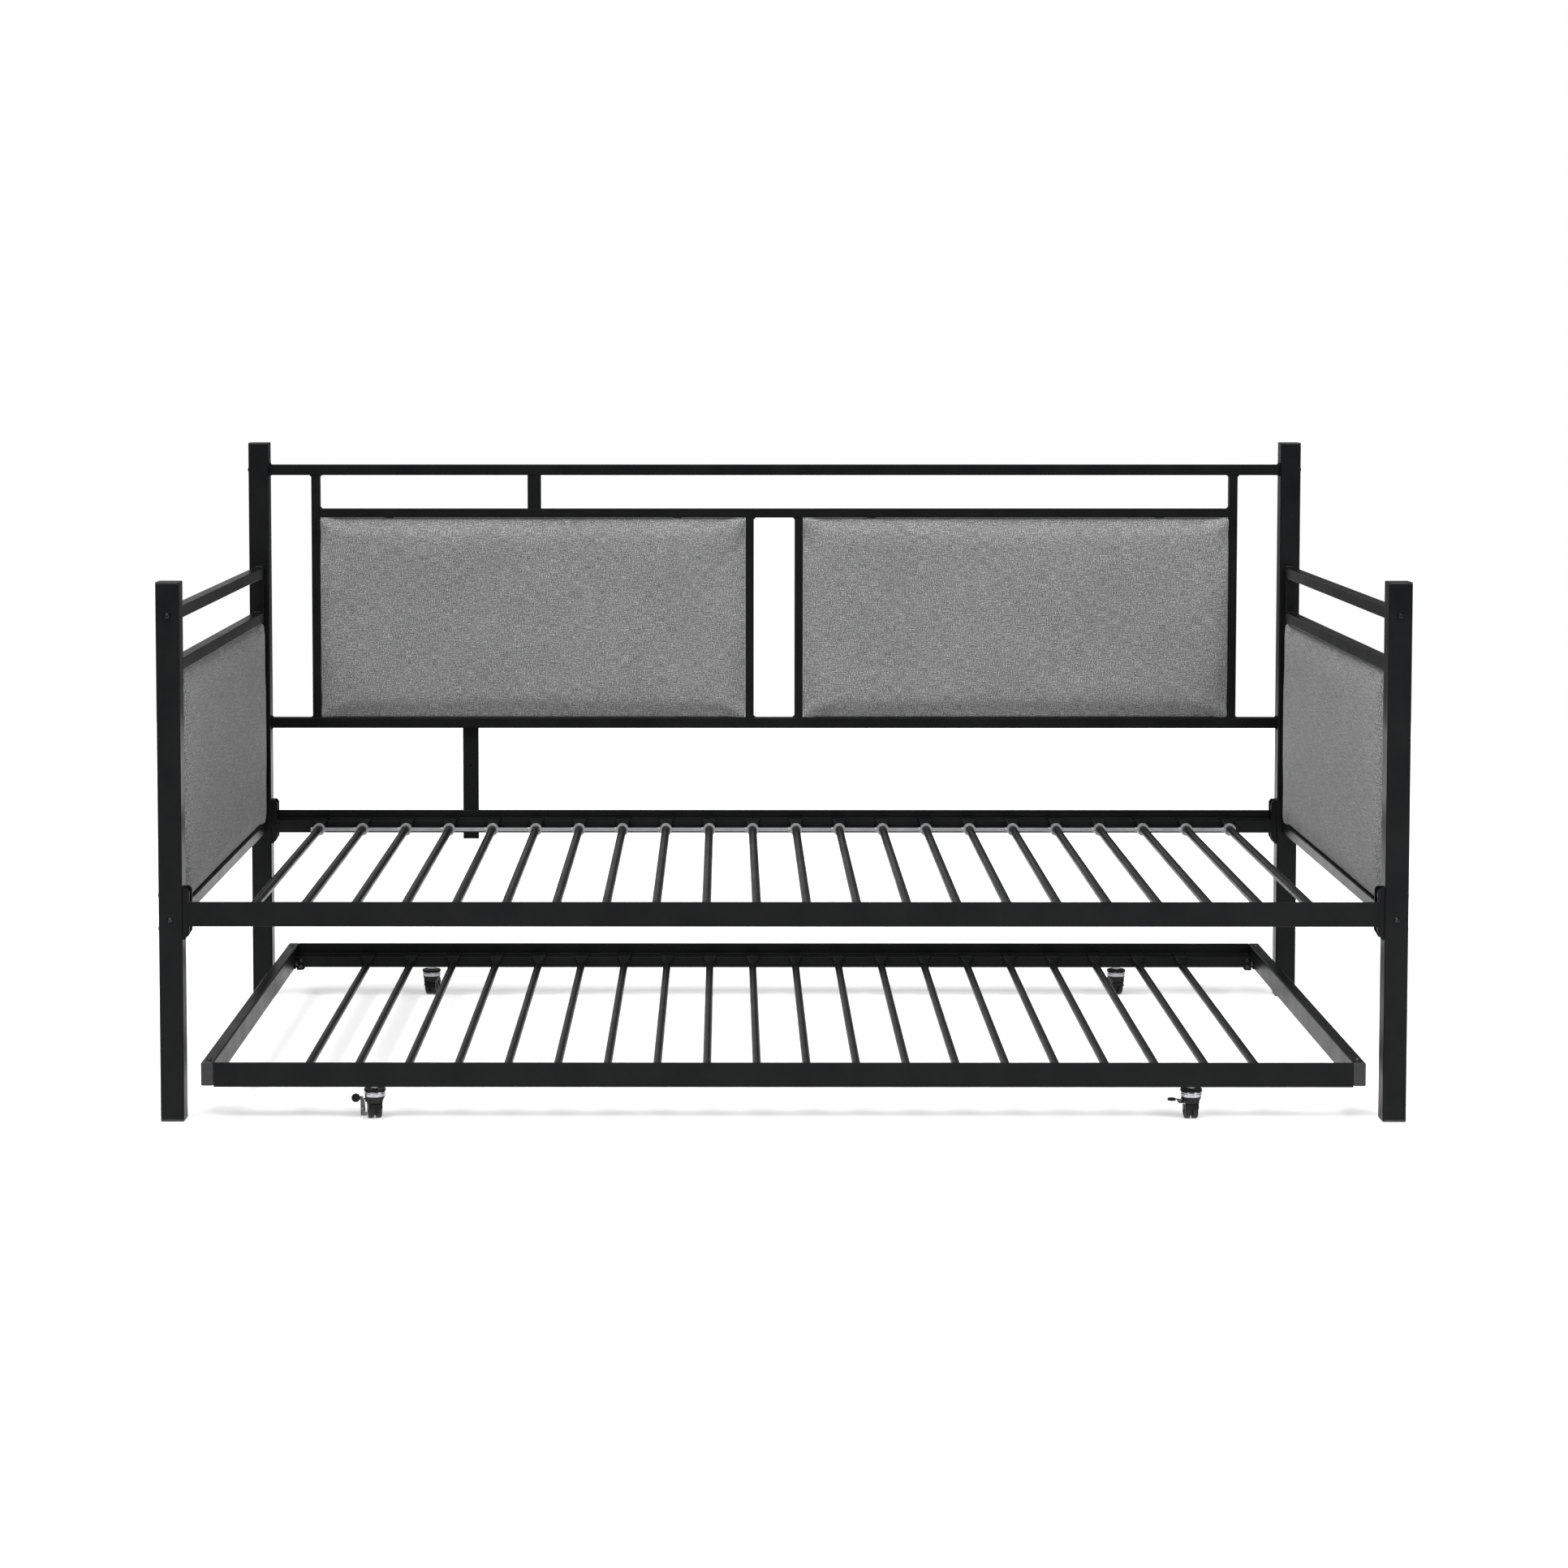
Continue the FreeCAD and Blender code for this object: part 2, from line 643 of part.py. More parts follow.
def frame_nuts():
    """Square threaded inserts in the tube ends that take the frame bolts."""
    nut = rounded_bar(NUT_SIDE, NUT_SIDE, 1.6, NUT_THICK)
    nut = nut.cut(Part.makeCylinder(BOLT_RADIUS + 0.02, NUT_THICK + 2, Vector(0, 0, -1)))
    parts = []
    for sx in (-1, 1):
        for z in (ARM_BOTTOM + TUBE / 2, ARM_TOP - TUBE / 2):
            parts.append(along(nut, "y", (sx * POST_X, -INNER_Y + 1, z)))
            parts.append(along(nut, "y", (sx * POST_X, INNER_Y - 1 - NUT_THICK, z)))
    for z in (BACK_BOTTOM + TUBE / 2, BACK_TOP - TUBE / 2):
        parts.append(along(nut, "x", (-INNER_X + 1, POST_Y, z)))
        parts.append(along(nut, "x", (INNER_X - 1 - NUT_THICK, POST_Y, z)))
    return group(parts)


def rail_bolts():
    """Bolts through the posts into the end brackets."""
    bolt = button_bolt(POST + BRACKET_PLATE + 6)
    parts = []
    for sx in (-1, 1):
        for sy in (-1, 1):
            for z in rail_bolt_levels():
                parts.append(point_along(bolt, X * sx, (sx * HALF_L, sy * POST_Y, z)))
    return group(parts)


def hex_bar(across, length):
    """Hexagonal prism along +Z."""
    r = across / math.sqrt(3)
    pts = [Vector(r * math.cos(math.radians(60 * i)), r * math.sin(math.radians(60 * i)), 0) for i in range(7)]
    return Part.Face(Part.makePolygon(pts)).extrude(Vector(0, 0, length))


def rail_nuts():
    """Hexagon nuts on the inner side of the end brackets."""
    nut = hex_bar(10, 5).cut(Part.makeCylinder(BOLT_RADIUS + 0.02, 7, Vector(0, 0, -1)))
    parts = []
    for sx in (-1, 1):
        at = INNER_X - BRACKET_PLATE
        for sy in (-1, 1):
            for z in rail_bolt_levels():
                parts.append(point_along(nut, X * -sx, (sx * at, sy * POST_Y, z)))
    return group(parts)


# ------------------------------------------------------------------ trundle


def trundle_rail(sy):
    """Front or back rail of the trundle, with holes for the caster stems."""
    length = TRUNDLE_LENGTH - 2 * END_RAIL_WIDTH
    rail = stepped_rail(length, TRUNDLE_LEDGE_HEIGHT, TRUNDLE_LEDGE_DEPTH)
    rail.translate(Vector(-length / 2, -TRUNDLE_DEPTH / 2, TRUNDLE_BOTTOM))
    for sx in (-1, 1):
        hole = Part.makeCylinder(STEM_RADIUS + 0.1, 8, Vector(sx * CASTER_X, -CASTER_Y, TRUNDLE_BOTTOM - 2))
        rail = rail.cut(hole)
    return rail if sy < 0 else mirrored(rail, "y")


def end_screw_places(sx):
    """Seats of the screws on top of one end tube, near both of its ends."""
    x = sx * (TRUNDLE_LENGTH - END_RAIL_WIDTH) / 2
    y = TRUNDLE_DEPTH / 2 - 26
    top = TRUNDLE_BOTTOM + RAIL_HEIGHT
    return [(x, -y, top), (x, y, top)]


def trundle_end_rails():
    """Two tubes that run the trundle's full depth at its ends."""
    bar = tube(END_RAIL_HEIGHT, END_RAIL_WIDTH, TUBE_WALL, 2.5, TRUNDLE_DEPTH - 6)
    parts = []
    z = TRUNDLE_BOTTOM + RAIL_HEIGHT - END_RAIL_HEIGHT / 2
    for sx in (-1, 1):
        one = bar.copy()
        one.rotate(Vector(), Z, 90)
        one.rotate(Vector(), X, -90)
        one.translate(Vector(sx * (TRUNDLE_LENGTH - END_RAIL_WIDTH) / 2, -TRUNDLE_DEPTH / 2 + 3, z))
        for x, y, top in end_screw_places(sx):
            one = one.cut(pipe(2.3, 4, "z", (x, y, top - 2)))
        parts.append(one)
    return group(parts)


def trundle_end_caps():
    """Plastic plugs in the ends of the trundle's end tubes."""
    cap = rounded_bar(END_RAIL_WIDTH, END_RAIL_HEIGHT, 2.5, 3.0)
    rim = [e for e in cap.Edges if e.BoundBox.ZMin > 2.99]
    cap = cap.makeFillet(1.2, rim)
    plug = rounded_bar(END_RAIL_WIDTH - 2 * TUBE_WALL - 0.2, END_RAIL_HEIGHT - 2 * TUBE_WALL - 0.2, 1.2, 12)
    plug.translate(Vector(0, 0, -12))
    cap = cap.fuse(plug)
    parts = []
    z = TRUNDLE_BOTTOM + RAIL_HEIGHT - END_RAIL_HEIGHT / 2
    for sx in (-1, 1):
        back = cap.copy()
        back.rotate(Vector(), X, -90)
        back.translate(Vector(sx * (TRUNDLE_LENGTH - END_RAIL_WIDTH) / 2, TRUNDLE_DEPTH / 2 - 3, z))
        parts.append(back)
        parts.append(mirrored(back, "y"))
    return group(parts)


def corner_origin():
    """Inner corner of the trundle at its back right: end tube's inner face, rail's inner face."""
    x = TRUNDLE_LENGTH / 2 - END_RAIL_WIDTH
    y = TRUNDLE_DEPTH / 2 - TRUNDLE_LEDGE_DEPTH
    return x, y


def corner_bracket():
    """Angle plate in the back right corner that joins the rail to the end tube."""
    x, y = corner_origin()
    z0 = TRUNDLE_BOTTOM - 5
    z1 = TRUNDLE_BOTTOM + TRUNDLE_LEDGE_HEIGHT - 1
    plate = box(x - PLATE_WIDTH, x, y - 2, y, z0, z1)
    wing = box(x - 2, x, y - 34, y - 2, z0 + 8, z1)
    body = plate.fuse(wing).removeSplitter()
    upright = [e for e in body.Edges if e.BoundBox.XLength < 0.01 and e.BoundBox.ZLength < 0.01]
    corner = [e for e in upright if e.BoundBox.XMax < x - PLATE_WIDTH + 1 and e.BoundBox.ZMax < z0 + 0.1]
    body = body.makeFillet(6.0, corner)
    for z in (z0 + 7, z1 - 5):
        body = body.cut(pipe(2.3, 6, "y", (x - PLATE_WIDTH / 2, y - 4, z)))
    body = body.cut(pipe(2.3, 6, "x", (x - 4, y - 22, (z0 + 8 + z1) / 2)))
    return body


def corner_set(shape):
    """Copies of a back right shape in all four corners."""
    left = mirrored(shape, "x")
    return [shape, left, mirrored(shape, "y"), mirrored(left, "y")]


def corner_screw(direction, at):
    """Pan-head screw that ends at the plate it goes through."""
    head = Part.makeCone(4.4, 3.2, 2.4)
    rim = [e for e in head.Edges if e.BoundBox.ZMin > 2.39]
    head = head.makeFillet(0.8, rim)
    head = head.cut(hex_bar(3.0, 3).translated(Vector(0, 0, 1.2)))
    screw = head.fuse(Part.makeCylinder(2.25, 2.0, Vector(0, 0, -2.0)))
    return point_along(screw, direction, at)


def corner_screws():
    """Screws of the corner brackets and on top of the end tubes."""
    x, y = corner_origin()
    z0 = TRUNDLE_BOTTOM - 5
    z1 = TRUNDLE_BOTTOM + TRUNDLE_LEDGE_HEIGHT - 1
    parts = []
    for z in (z0 + 7, z1 - 5):
        parts += corner_set(corner_screw(Y * -1, (x - PLATE_WIDTH / 2, y - 2, z)))
    parts += corner_set(corner_screw(X * -1, (x - 2, y - 22, (z0 + 8 + z1) / 2)))
    for sx in (-1, 1):
        parts += [corner_screw(Z, place) for place in end_screw_places(sx)]
    return group(parts)


# ------------------------------------------------------------------ casters


def caster_places():
    """Name, position signs and turn of each caster at rest."""
    return [("fl", -1, -1, 12.0), ("fr", 1, -1, 0.0), ("bl", -1, 1, -12.0), ("br", 1, 1, 14.0)]


def placed(shape, sx, sy, turn):
    """Turn a caster piece about its stem and move it under the trundle."""
    copy = shape.copy()
    copy.rotate(Vector(), Z, turn)
    copy.translate(Vector(sx * CASTER_X, sy * CASTER_Y, 0))
    return copy


def caster_fork():
    """Hooded body of a twin-wheel caster: crown, hood over the wheels and a middle web."""
    r = WHEEL_RADIUS + 0.7
    w = WHEEL_HALF_WIDTH + 0.2
    crown_top = Part.makeCylinder(CUP_RADIUS - 0.6, 1.6, Vector(0, 0, CUP_BOTTOM - 1.6))
    shoulder = Part.makeLoft(
        [round_wire(CUP_RADIUS - 0.6, CUP_BOTTOM - 1.6), square_wire(2 * w, 27.0, 27.0)], True, True
    )
    hood = pipe(r + 1.6, 2 * w, "x", (-w, TRAIL, WHEEL_RADIUS))
    hood = hood.common(box(-w, w, TRAIL - 21, TRAIL + 21, 19.0, CUP_BOTTOM))
    body = crown_top.multiFuse([shoulder, hood])
    for side in (-1, 1):
        x0 = WEB_HALF if side > 0 else -WEB_HALF - w
        cavity = pipe(r, w, "x", (x0, TRAIL, WHEEL_RADIUS))
        body = body.cut(cavity.common(box(x0, x0 + w, -40, 40, -1, CUP_BOTTOM + 5)))
        body = body.cut(box(x0, x0 + w, TRAIL - r, TRAIL + r, 0, WHEEL_RADIUS))
    web = pipe(WHEEL_RADIUS - 4, 2 * WEB_HALF, "x", (-WEB_HALF, TRAIL, WHEEL_RADIUS))
    rise = box(-WEB_HALF, WEB_HALF, TRAIL - 15, TRAIL + 8, WHEEL_RADIUS, CUP_BOTTOM - 2)
    body = body.multiFuse([web, rise])
    body = body.cut(pipe(AXLE_RADIUS + RUNNING, 20, "x", (-10, TRAIL, WHEEL_RADIUS)))
    return body.cut(Part.makeCylinder(STEM_RADIUS + RUNNING, 3.5, Vector(0, 0, CUP_BOTTOM - 3))).removeSplitter()


def caster_wheel():
    """Two small wheels with rounded treads and recessed outer hubs, pressed on one axle."""
    x0 = WEB_HALF + 0.4
    x1 = WHEEL_HALF_WIDTH
    wheel = pipe(WHEEL_RADIUS, x1 - x0, "x", (x0, 0, 0))
    rims = [e for e in wheel.Edges if e.BoundBox.XLength < 0.01]
    outer = [e for e in rims if e.BoundBox.XMin > x1 - 0.1]
    wheel = wheel.makeFillet(2.4, outer)
    wheel = wheel.cut(pipe(11.5, 3.0, "x", (x1 - 1.6, 0, 0)))
    wheel = wheel.fuse(pipe(4.5, 1.6, "x", (x1 - 1.6, 0, 0))).removeSplitter()
    wheel = wheel.cut(pipe(AXLE_RADIUS + 0.02, AXLE_HALF, "x", (0, 0, 0)))
    axle = pipe(AXLE_RADIUS, 2 * AXLE_HALF - 0.04, "x", (-AXLE_HALF + 0.02, 0, 0))
    pair = group([wheel, mirrored(wheel, "x"), axle])
    pair.translate(Vector(0, TRAIL, WHEEL_RADIUS))
    return pair


def caster_cup():
    """Bright pressed cup that turns on the stem."""
    cup = Part.makeCylinder(CUP_RADIUS, CUP_TOP - CUP_BOTTOM, Vector(0, 0, CUP_BOTTOM))
    rims = [e for e in cup.Edges if e.BoundBox.ZMin > CUP_TOP - 0.1]
    cup = cup.makeFillet(2.0, rims)
    groove = Part.makeTorus(CUP_RADIUS + 0.5, 1.1, Vector(0, 0, CUP_TOP - 3.2))
    cup = cup.cut(groove)
    return cup.cut(Part.makeCylinder(STEM_RADIUS + RUNNING, 12, Vector(0, 0, CUP_BOTTOM - 1)))


def caster_disc():
    """Black top disc of a caster, dished, with a hole for the stem."""
    disc = Part.makeCone(CUP_RADIUS + 1, CUP_RADIUS + 0.2, DISC_TOP - CUP_TOP - 0.3, Vector(0, 0, CUP_TOP + 0.3))
    dish = Part.makeCone(9.0, 14.0, 1.2, Vector(0, 0, DISC_TOP - 1.0))
    disc = disc.cut(dish)
    return disc.cut(Part.makeCylinder(STEM_RADIUS + 0.02, 12, Vector(0, 0, CUP_TOP - 2)))


def caster_stem():
    """Threaded stem from the crown up through the rail."""
    low = CUP_BOTTOM - 0.5
    high = TRUNDLE_BOTTOM + TRUNDLE_LEDGE_HEIGHT - RAIL_WALL - 2
    stem = Part.makeCylinder(STEM_RADIUS, high - low, Vector(0, 0, low))
    return stem


def stem_nut(low, height):
    """Hexagon nut on the stem."""
    nut = hex_bar(13, height).cut(Part.makeCylinder(STEM_RADIUS + 0.02, height + 2, Vector(0, 0, -1)))
    nut.translate(Vector(0, 0, low))
    return nut


def at_all_casters(shapes):
    """Copies of unturned caster pieces at all four places."""
    parts = []
    for name, sx, sy, turn in caster_places():
        for shape in shapes:
            parts.append(placed(shape, sx, sy, 0))
    return group(parts)


def brake_lug():
    """Boss below the crown on the left side, outside the wheel, for the brake lever's pin along X."""
    length = BOSS_OUT - BOSS_IN
    boss = pipe(3.2, length, "x", (-BOSS_OUT, 0, PIVOT_HEIGHT))
    rise = box(-BOSS_OUT, -BOSS_IN, -3.2, 3.2, PIVOT_HEIGHT, CUP_BOTTOM - 0.5)
    return boss.fuse(rise)


def pin_hole():
    """Running hole of the brake lever's pin."""
    return pipe(1.25 + RUNNING, BOSS_OUT - BOSS_IN + 2, "x", (-BOSS_OUT - 1, 0, PIVOT_HEIGHT))


def ear_face():
    """X of the lever ear's inner face, just clear of the boss."""
    return -BOSS_OUT - 0.15


def brake_lever(tilt):
    """Bright strap with an ear, a pin, a tongue for the pedal and a foot, turned about the pin."""
    x = ear_face()
    low = PIVOT_HEIGHT - EAR / 2
    ear = pipe(3.6, EAR, "x", (x - EAR, 0, PIVOT_HEIGHT))
    pin = pipe(1.25, EAR - x - BOSS_IN - 0.2, "x", (x - EAR, 0, PIVOT_HEIGHT))
    strap = box(x - EAR - STRAP_WIDTH, x, -STRAP_LENGTH, 3.0, low, low + EAR)
    foot = box(x, x + 2.6, -STRAP_LENGTH, -STRAP_LENGTH + 6.0, low, low + EAR)
    tongue = box(x - EAR - STRAP_WIDTH - 7.0, x - EAR - 2.0, 0.5, 6.5, low, low + EAR)
    body = ear.multiFuse([pin, strap, foot, tongue]).removeSplitter()
    body.rotate(Vector(0, 0, PIVOT_HEIGHT), X, tilt)
    return body


def brake_pedal(tilt):
    """Oval black pedal pushed over the lever's tongue, turned with the lever."""
    x = ear_face() - EAR - STRAP_WIDTH
    low = PIVOT_HEIGHT - PEDAL_THICK / 2
    blade = Part.makeCylinder(PEDAL_RADIUS, PEDAL_THICK, Vector(x - 0.3 - PEDAL_RADIUS, 4.0, low))
    rims = [e for e in blade.Edges if e.BoundBox.ZLength < 0.01]
    blade = blade.makeFillet(1.2, rims)
    gap = EAR / 2 + RUNNING
    pocket = box(x - 7.0 - RUNNING, x + 2, 0.5 - RUNNING, 6.5 + RUNNING, PIVOT_HEIGHT - gap, PIVOT_HEIGHT + gap)
    body = blade.cut(pocket)
    body.rotate(Vector(0, 0, PIVOT_HEIGHT), X, tilt)
    return body


def brake_tilt(name):
    """Angle of the brake lever at rest: raised on the left caster, level on the right one."""
    return 80.0 if name == "fl" else 0.0


# ------------------------------------------------------------------ nodes


def build():
    """Every node's shape by name."""
    nodes = {}
    labels = ("front_left", "front_right", "back_left", "back_right")
    for label, (sx, sy, height) in zip(labels, post_positions()):
        nodes["post_" + label] = post(sx, sy, height)
    caps = []
    glides = []
    for sx, sy, height in post_positions():
        caps.append(post_cap(height).translated(Vector(sx * POST_X, sy * POST_Y, 0)))
        glides.append(post_glide().translated(Vector(sx * POST_X, sy * POST_Y, 0)))
    nodes["post_top_caps"] = group(caps)
    nodes["post_foot_glides"] = group(glides)
    for side, sx in (("left", -1), ("right", 1)):
        nodes["arm_frame_" + side] = arm_frame(sx)
        nodes["arm_pad_" + side] = arm_pad(sx)
        nodes["backrest_pad_" + side] = backrest_pad(sx)
    nodes["arm_pad_boards"] = group([arm_pad_board(-1), arm_pad_board(1)])
    nodes["backrest_pad_boards"] = group([backrest_pad_board(-1), backrest_pad_board(1)])
    nodes["pad_board_tabs"] = board_tabs()
    nodes["pad_board_screws"] = board_screws()
    nodes["backrest_frame"] = backrest_frame()
    nodes["backrest_upper_strut"] = upper_strut()
    nodes["backrest_lower_leg"] = lower_leg()
    nodes["backrest_leg_screws"] = leg_screws()
    nodes["frame_bolts"] = frame_bolts()
    nodes["frame_nuts"] = frame_nuts()
    nodes["side_rail_front"] = deck_rail(-1)
    nodes["side_rail_back"] = deck_rail(1)
    nodes["side_rail_brackets"] = deck_brackets()
    nodes["side_rail_bolts"] = rail_bolts()
    nodes["side_rail_nuts"] = rail_nuts()
    nodes["deck_slats"] = deck_slats()
    inset = DECK_LEDGE_DEPTH + 3.0 + 16.0 + LINK_WIDTH / 2 + 1.0
    nodes["deck_slat_links_front"] = slat_links(DECK_FRONT + inset)
    nodes["deck_slat_links_back"] = slat_links(DECK_BACK - inset)
    nodes["trundle_rail_front"] = trundle_rail(-1)
    nodes["trundle_rail_back"] = trundle_rail(1)
    nodes["trundle_end_rails"] = trundle_end_rails()
    nodes["trundle_end_caps"] = trundle_end_caps()
    nodes["trundle_corner_brackets"] = group(corner_set(corner_bracket()))
    nodes["trundle_corner_screws"] = corner_screws()
    nodes["trundle_slats"] = trundle_slats()
    nodes["caster_stems"] = at_all_casters([caster_stem()])
    upper = TRUNDLE_BOTTOM + RAIL_WALL
    nodes["caster_stem_nuts"] = at_all_casters([stem_nut(TRUNDLE_BOTTOM - 5, 5), stem_nut(upper, 5)])
    nodes["caster_top_discs"] = at_all_casters([caster_disc()])
    for name, sx, sy, turn in caster_places():
        fork = caster_fork()
        if sy < 0:
            fork = fork.fuse(brake_lug()).cut(pin_hole())
            tilt = brake_tilt(name)
            nodes["caster_" + name + "_brake_lever"] = placed(brake_lever(tilt), sx, sy, turn)
            nodes["caster_" + name + "_brake_pedal"] = placed(brake_pedal(tilt), sx, sy, turn)
        nodes["caster_" + name + "_fork"] = placed(fork, sx, sy, turn)
        nodes["caster_" + name + "_cup"] = placed(caster_cup(), sx, sy, turn)
        nodes["caster_" + name + "_wheels"] = placed(caster_wheel(), sx, sy, turn)
    return nodes


for node, shape in build().items():
    shape.exportStep("parts/" + node + ".step")
    print(node, len(shape.Solids), shape.isValid(), round(shape.Volume, 1))
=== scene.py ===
"""Looks of the daybed with its roll-out trundle: materials, upholstery, welds, studio and camera."""

import json
import math
import random

import bmesh
import bpy
import numpy as np
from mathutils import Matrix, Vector


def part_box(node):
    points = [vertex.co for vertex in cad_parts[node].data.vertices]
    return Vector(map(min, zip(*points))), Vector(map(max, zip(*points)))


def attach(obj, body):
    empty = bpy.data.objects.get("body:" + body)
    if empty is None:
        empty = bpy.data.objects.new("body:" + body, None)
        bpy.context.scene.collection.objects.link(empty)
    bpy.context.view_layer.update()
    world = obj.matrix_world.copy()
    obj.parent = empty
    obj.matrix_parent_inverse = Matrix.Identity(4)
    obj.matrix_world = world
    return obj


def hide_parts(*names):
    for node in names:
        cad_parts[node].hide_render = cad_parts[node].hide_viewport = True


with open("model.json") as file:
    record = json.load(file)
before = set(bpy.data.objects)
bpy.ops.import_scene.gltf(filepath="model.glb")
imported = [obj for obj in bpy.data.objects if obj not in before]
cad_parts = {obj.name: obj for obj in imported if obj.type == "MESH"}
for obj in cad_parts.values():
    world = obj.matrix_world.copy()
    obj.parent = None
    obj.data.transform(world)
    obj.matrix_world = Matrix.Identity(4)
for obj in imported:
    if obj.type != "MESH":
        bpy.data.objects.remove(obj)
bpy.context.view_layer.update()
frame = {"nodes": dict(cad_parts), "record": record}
NODES = frame["nodes"]

# Lengths are in metres, apart from the camera's sensor and lens, which are in millimetres.

# Camera: the shifts are parts of the frame's width.
SENSOR = 36.0
LENS = 73.1925
LENS_SHIFT = (0.040373, -0.151656)
CAMERA_AT = (-0.0915, -5.573, 1.2355)
CAMERA_PITCH = math.radians(3.5)
CAMERA_YAW = math.radians(0.10)

# Pad blank: a straight side, then a shoulder that rises to the flat of the face.
PAD_EDGE = 0.0125
PAD_SHOULDER = 0.070
SHOULDER_STEPS = 8
BACK_ROUND = 0.004
PAD_CORNER = 0.006
CORNER_STEPS = 8

# Cloth run on the blank, and how far it may move a point: out of the face, and along it.
PAD_VOXEL = 0.006
PAD_FRAMES = 20
PAD_PRESSURE = 4.0
PAD_SWELL = 0.006
PAD_CREEP = 0.0006
HELD_DEPTH = 0.002

# Room that the blank leaves: beside the tubes, for the crown, and for the swelling.
PAD_GAP = 0.0003
CROWN_ROOM = 0.001
SWELL_ROOM = 0.005

# Soft shape given after the cloth run.
PAD_CROWN = 0.002
PAD_UNEVEN = 0.0008
UNEVEN_WAVES = 5
SIDE_PULL = 0.0012
REACH = 0.004
REACH_BAND = 0.014
FACE_FROM, FACE_BLEND = 0.006, 0.008
PAD_CLEAR = 0.0002

# Tubes of the arm and backrest frames, and the welds where they meet.
TUBE = 0.020
STILE = 0.016
MIDDLE_RAIL = 0.017
CORNER_ROUND = 0.0015
WELD_SIZE = 0.0032
WELD_SUNK = 0.0003
WELD_STEPS = 9
WELD_ARC = 4
WELD_RIPPLE = 0.16
WELD_FLAT = 0.22
WELD_END = 0.6

FLOOR_HALF = 5.0


# ------------------------------------------------------------------ materials


class Shader:
    """A material under construction, with short calls to add and join nodes."""

    def __init__(self, name):
        self.material = bpy.data.materials.new(name)
        self.material.use_nodes = True
        self.tree = self.material.node_tree
        self.tree.nodes.clear()
        self.out = self.tree.nodes.new("ShaderNodeOutputMaterial")
        self.surface = self.tree.nodes.new("ShaderNodeBsdfPrincipled")
        self.link(self.surface.outputs["BSDF"], self.out.inputs["Surface"])
        self.where = self.tree.nodes.new("ShaderNodeTexCoord").outputs["Object"]

    def link(self, source, target):
        self.tree.links.new(source, target)

    def add(self, kind, inputs=(), **settings):
        node = self.tree.nodes.new(kind)
        for key, value in settings.items():
            setattr(node, key, value)
        for key, value in dict(inputs).items():
            if isinstance(value, bpy.types.NodeSocket):
                self.link(value, node.inputs[key])
            else:
                node.inputs[key].default_value = value
        return node

    def stretched(self, scale):
        """Object coordinates, scaled by axis."""
        return self.add("ShaderNodeMapping", {"Vector": self.where, "Scale": scale}).outputs[0]

    def noise(self, vector, scale, detail=2.0, roughness=0.5):
        inputs = {"Vector": vector, "Scale": scale, "Detail": detail, "Roughness": roughness}
        return self.add("ShaderNodeTexNoise", inputs).outputs["Fac"]

    def ramp(self, fac, stops):
        """Colour ramp; a stop's colour is a tuple, or one number for a grey."""
        node = self.add("ShaderNodeValToRGB", {"Fac": fac})
        elements = node.color_ramp.elements
        while len(elements) < len(stops):
            elements.new(0.5)
        for element, (at, colour) in zip(elements, stops):
            element.position = at
            rgb = colour if isinstance(colour, tuple) else (colour, colour, colour)
            element.color = (*rgb, 1.0)
        return node.outputs["Color"]

    def math(self, operation, a, b):
        return self.add("ShaderNodeMath", {0: a, 1: b}, operation=operation).outputs[0]

    def spread(self, fac, low, high):
        """Stretch the middle of a noise over the range from low to high."""
        node = self.add("ShaderNodeMapRange", {"Value": fac, "From Min": 0.3, "From Max": 0.7})
        node.inputs["To Min"].default_value = low
        node.inputs["To Max"].default_value = high
        return node.outputs[0]

    def bump(self, height, strength, distance):
        inputs = {"Height": height, "Strength": strength, "Distance": distance}
        self.link(self.add("ShaderNodeBump", inputs).outputs[0], self.surface.inputs["Normal"])

    def put(self, **inputs):
        """Set or link inputs of the surface shader; an underscore stands for a space."""
        for key, value in inputs.items():
            socket = self.surface.inputs[key.replace("_", " ")]
            if isinstance(value, bpy.types.NodeSocket):
                self.link(value, socket)
            else:
                socket.default_value = value


def powder_coat():
    """Satin black powder coat: fine orange peel and slightly uneven gloss."""
    s = Shader("powder_coat")
    blotch = s.noise(s.where, 14.0, 3.0, 0.6)
    peel = s.noise(s.where, 700.0, 2.0, 0.55)
    colour = s.ramp(blotch, [(0.3, (0.0046, 0.0048, 0.0052)), (0.7, (0.0072, 0.0074, 0.0078))])
    s.put(Base_Color=colour, Roughness=s.spread(blotch, 0.28, 0.36), Specular_IOR_Level=0.06)
    s.bump(peel, 0.03, 0.0002)
    return s.material


